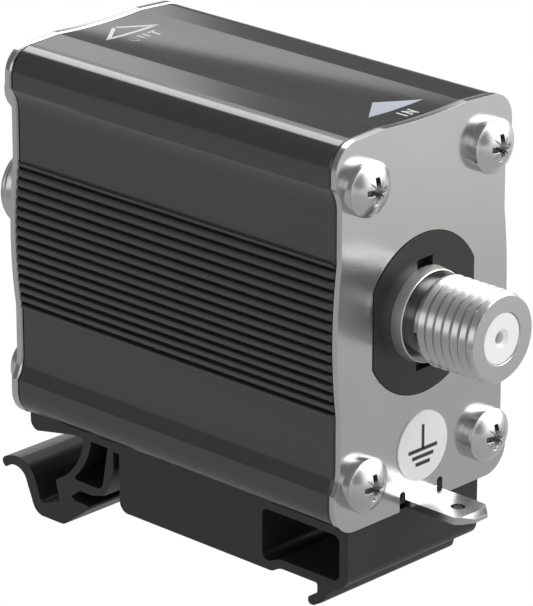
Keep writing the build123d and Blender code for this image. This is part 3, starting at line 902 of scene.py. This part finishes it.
def recess_punch(crown):
    """Two crossed blades that narrow with depth, and a spike between each pair of wings."""
    out = wing_reach + above * (wing_reach - floor_reach) / recess_depth
    blade = hull([(sx * x, crown - deep, sz * half)
                  for x, deep, half in ((out, -above, wing_top_half_w),
                                        (floor_reach, recess_depth, wing_floor_half_w))
                  for sx in (-1, 1) for sz in (-1, 1)])
    spike = hull([(x, crown - deep, z)
                  for x, half, bottom in ((spike_from, spike_half_w, spike_deep),
                                          (spike_to, spike_tip_half_w, spike_tip_deep))
                  for deep, z in ((-above, -half), (-above, half), (bottom, 0.0))])
    punch = bmesh.new()
    for wedge, angle in ((blade, 0), (blade, 90), (spike, 45), (spike, 135), (spike, 225), (spike, 315)):
        add_copy(punch, wedge, Matrix.Rotation(math.radians(angle), 4, "Y"))
    mesh = bpy.data.meshes.new("punch")
    punch.to_mesh(mesh)
    punch.free()
    return mesh


def carved(name, mesh, punch):
    """The mesh with the punch taken out of it."""
    block = bpy.data.objects.new("block", mesh)
    tool = bpy.data.objects.new("tool", punch)
    for thing in (block, tool):
        scene.collection.objects.link(thing)
    cut = block.modifiers.new("cut", "BOOLEAN")
    cut.operation = "DIFFERENCE"
    cut.solver = "EXACT"
    cut.use_self = True
    cut.object = tool
    result = block.evaluated_get(bpy.context.evaluated_depsgraph_get())
    shape = bmesh.new()
    shape.from_mesh(result.data)
    bpy.data.objects.remove(block)
    bpy.data.objects.remove(tool)
    return close_mesh(name, shape)


print("recess:", 2 * wing_reach, "mm across and", recess_depth, "mm deep")

# %% [markdown]
# ## Plate screws
# The screws are M3 with raised cheese heads: a straight side, a rounded rim and a low dome. The CAD heads
# are plainer, and a bevel modifier would round all their edges alike. So a screw is drawn as one outline,
# from the tip of its thread to the crown of its head, turned and punched once, and then copied to the four
# corners of each plate.

# %% Screws
head_side = 1.2
rim_break = 0.06
dome_steps = 12
shank_thread = 8.0
shank_turns = 16
shank_r = 1.5
shank_root = 1.23
shank_l = shank_thread + sheet_t
shank_rise = (0.1, 0.3)
screw_columns = 64

shoulder = shank_l + head_side
crown = shoulder + head_dome
dome = []
for i in range(dome_steps + 1):
    r = rim_r * (1 - i / dome_steps)
    dome.append((r, crown - dome_r + math.sqrt(dome_r ** 2 - r ** 2)))
head_outline = (
    (shank_root, shank_thread),
    (shank_root, shank_thread + shank_rise[0]),
    (shank_r, shank_thread + shank_rise[1]),
    (shank_r, shank_l),
    (head_r, shank_l),
    (head_r, shoulder - head_blend),
    (head_r - rim_break, shoulder - rim_break),
    *dome,
    (0.0, 0.0),
)
screw = threaded("screw", shank_thread, shank_turns, shank_r, shank_root, shank_root, head_outline,
                 screw_columns)
screw = carved("screw", screw, recess_punch(crown))

rear_face = in_mm(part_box("rear_plate"))[1].y
spots = [(x, z) for x in (-screw_x, screw_x) for z in (-screw_z, screw_z)]
front_places = [Matrix.Translation((x * mm, (plate_face + shank_l) * mm, z * mm))
                @ Matrix.Rotation(math.pi, 4, "Z") for x, z in spots]
rear_places = [Matrix.Translation((x * mm, (rear_face - shank_l) * mm, z * mm)) for x, z in spots]
add_piece("front_screws", copies("front_screws", screw, front_places), screw_nickel,
          "front_plate_screws")
add_piece("rear_screws", copies("rear_screws", screw, rear_places), screw_nickel,
          "rear_plate_screws")
print("screws at", [(round(x, 2), round(z, 2)) for x, z in spots])

# %% [markdown]
# ## Print
# The top carries a filled arrow at the input and an open one at the output, each with its word, and the
# plate a round earth mark. Print could be a picture laid over the surface, but a picture has pixels and
# needs a file. Here every mark is a set of flat strokes, laid on the surface and given the thickness of
# ink, so it stays sharp from any distance. The curved top needs it cut finely enough to follow.

# %% Strokes
ink_high = 0.02
ink_low = -0.01
ink_sharp = math.radians(20)
long_side = 1.0
long_cuts = 7


def stroke(start, end, width):
    """A straight stroke, as one outline."""
    along = (Vector(end) - Vector(start)).normalized() * width / 2
    side = Vector((-along.y, along.x))
    return [Vector(start) - along + side, Vector(start) - along - side,
            Vector(end) + along - side, Vector(end) + along + side]


def hoop(middle, size, width, start, end, steps=16):
    """Part of an oval ring, in turns from start to end, as short outlines."""
    rims = []
    for i in range(steps + 1):
        turn = 2 * math.pi * (start + (end - start) * i / steps)
        outward = Vector((math.cos(turn), math.sin(turn)))
        rims.append([Vector(middle) + Vector((outward.x * (size[0] + w), outward.y * (size[1] + w)))
                     for w in (-width / 2, width / 2)])
    return [[a[0], a[1], b[1], b[0]] for a, b in zip(rims, rims[1:])]


def frame_of(corners, width):
    """The outline of a triangle, drawn with a line of the given width inside it."""
    a, b, c = corners
    sides = [(b - c).length, (c - a).length, (a - b).length]
    middle = (a * sides[0] + b * sides[1] + c * sides[2]) / sum(sides)
    area = abs((b - a).cross(c - a)) / 2
    shrink = 1 - width * sum(sides) / (2 * area)
    inner = [middle + (corner - middle) * shrink for corner in corners]
    return [[corners[i - 1], corners[i], inner[i], inner[i - 1]] for i in range(3)]


def ink(name, outlines, place, material):
    """Lay outlines on a surface: place turns a flat point and a height, in millimetres, into a place."""
    shape = bmesh.new()
    for outline in outlines:
        shape.faces.new([shape.verts.new((p.x, p.y, 0.0)) for p in outline])
    bmesh.ops.triangulate(shape, faces=shape.faces)
    wide = [edge for edge in shape.edges if edge.calc_length() > long_side]
    bmesh.ops.subdivide_edges(shape, edges=wide, cuts=long_cuts, use_grid_fill=True)
    bmesh.ops.triangulate(shape, faces=shape.faces)
    raised = bmesh.ops.extrude_face_region(shape, geom=list(shape.faces))
    lifted = {v for v in raised["geom"] if isinstance(v, bmesh.types.BMVert)}
    for vertex in shape.verts:
        height = ink_high if vertex in lifted else ink_low
        vertex.co = Vector(place(vertex.co.x, vertex.co.y, height)) * mm
    add_piece(name, close_mesh(name, shape, ink_sharp), material)
    print(name, "strokes:", len(outlines))


def paint(name, colour, roughness):
    """Printed ink of one colour, a little uneven."""
    coat = Finish(name)
    patches = coat.noise(size=0.6)
    dim = tuple(c * 0.93 for c in colour[:3]) + (1.0,)
    return coat.finish(
        Base_Color=coat.mix(patches, dim, colour),
        Roughness=roughness + patches * 0.08,
        Normal=coat.bump(patches, 0.001),
    )


print("ink stands", ink_high, "mm over its surface")

# %% [markdown]
# ## Letters
# Two plain words name the ends. A font object could write them, but a handful of strokes needs no font file
# and gives each letter the even line of a stencil. Each letter is a function of the box it fills, and a
# word sets them side by side.

# %% Letters
letter_h = 1.5
letter_gap = 0.5
line_w = 0.26


def letter_i(left, right, low, high):
    middle = (left + right) / 2
    return [stroke((middle, low), (middle, high), line_w)]


def letter_n(left, right, low, high):
    return [stroke((left, low), (left, high), line_w), stroke((left, high), (right, low), line_w),
            stroke((right, low), (right, high), line_w)]


def letter_o(left, right, low, high):
    middle = ((left + right) / 2, (low + high) / 2)
    return hoop(middle, ((right - left) / 2, (high - low) / 2), line_w, 0.0, 1.0, 24)


def letter_u(left, right, low, high):
    half = (right - left) / 2
    foot = (left + half, low + half)
    return [stroke((left, foot[1]), (left, high), line_w), stroke((right, foot[1]), (right, high), line_w),
            *hoop(foot, (half, half), line_w, 0.5, 1.0)]


def letter_t(left, right, low, high):
    middle = (left + right) / 2
    return [stroke((left, high), (right, high), line_w), stroke((middle, low), (middle, high), line_w)]


def word(letters, y):
    """Strokes of a word, centred on the sleeve, its foot at y. Each letter comes with its width."""
    low, high = y + line_w / 2, y + letter_h - line_w / 2
    pen = -0.5 * (sum(width for _, width in letters) + letter_gap * (len(letters) - 1))
    strokes = []
    for letter, width in letters:
        strokes += letter(pen + line_w / 2, pen + width - line_w / 2, low, high)
        pen += width + letter_gap
    return strokes


print("letters are", letter_h, "mm high")

# %% [markdown]
# ## Marks on the top
# The marks lie on a shallow dish that runs along the sleeve, the arc of a large circle. Each flat point is
# lifted onto that circle, so the ink follows the metal with no gap under it. A modifier that wraps flat
# shapes onto the metal would do as well, but the circle is known, so a formula is exact.

# %% Marks on the top
dish_depth = 0.25
dish_r = (ridge_x ** 2 + dish_depth ** 2) / (2 * dish_depth)
dish_low = body_high.z - dish_depth
arrow_half = 4.0
arrow_l = 3.15
arrow_line = 0.42
input_arrow_at = 14.5
input_word_at = 12.2
output_arrow_at = 51.6
output_word_at = 49.2


def on_dish(x, y, height):
    """A point over the dished top of the sleeve."""
    return x, y, dish_low + dish_r - math.sqrt(dish_r ** 2 - x ** 2) + height


def arrow(y):
    """Corners of an arrowhead that points to the rear, its base at y."""
    return [Vector((-arrow_half, y)), Vector((arrow_half, y)), Vector((0.0, y + arrow_l))]


pale_ink = paint("pale_ink", (0.55, 0.60, 0.68, 1.0), 0.30)
white_ink = paint("white_ink", (0.82, 0.83, 0.84, 1.0), 0.30)
input_letters = [(letter_i, 0.26), (letter_n, 1.1)]
output_letters = [(letter_o, 1.1), (letter_u, 1.05), (letter_t, 1.05)]
ink("input_arrow", [arrow(input_arrow_at)], on_dish, pale_ink)
ink("output_arrow", frame_of(arrow(output_arrow_at), arrow_line), on_dish, white_ink)
ink("input_word", word(input_letters, input_word_at), on_dish, white_ink)
ink("output_word", word(output_letters, output_word_at), on_dish, white_ink)

# %% [markdown]
# ## Earth mark
# The disc beside the tab carries the common sign for earth: an upright over three bars that grow shorter.
# It tells the fitter where the earth lead goes. The disc's material could draw it as a pattern, but strokes
# keep their edges sharp, so it is laid on the disc as the other marks are on the sleeve.

# %% Earth mark
disc_low, disc_high = in_mm(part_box("earth_disc"))
disc_z = (disc_low.z + disc_high.z) / 2
disc_face = disc_low.y
bar_w = 0.4
upright = (2.15, -0.1)
bars = ((1.96, -0.32), (1.4, -1.08), (0.88, -1.85))


def on_disc(x, z, height):
    """A point over the front of the earth disc."""
    return x, disc_face - height, disc_z + z


earth_lines = [stroke((0.0, upright[0]), (0.0, upright[1]), bar_w)]
earth_lines += [stroke((-half, z), (half, z), bar_w) for half, z in bars]
ink("earth_mark", earth_lines, on_disc, paint("dark_ink", grey(0.027), 0.35))

# %% [markdown]
# ## Colour handling
# The view transform is Standard, so a colour in the render is the colour that was written. A filmic one
# would soften the highlights, and shift every colour with them.

# %% Colour handling
scene.view_settings.view_transform = "Standard"
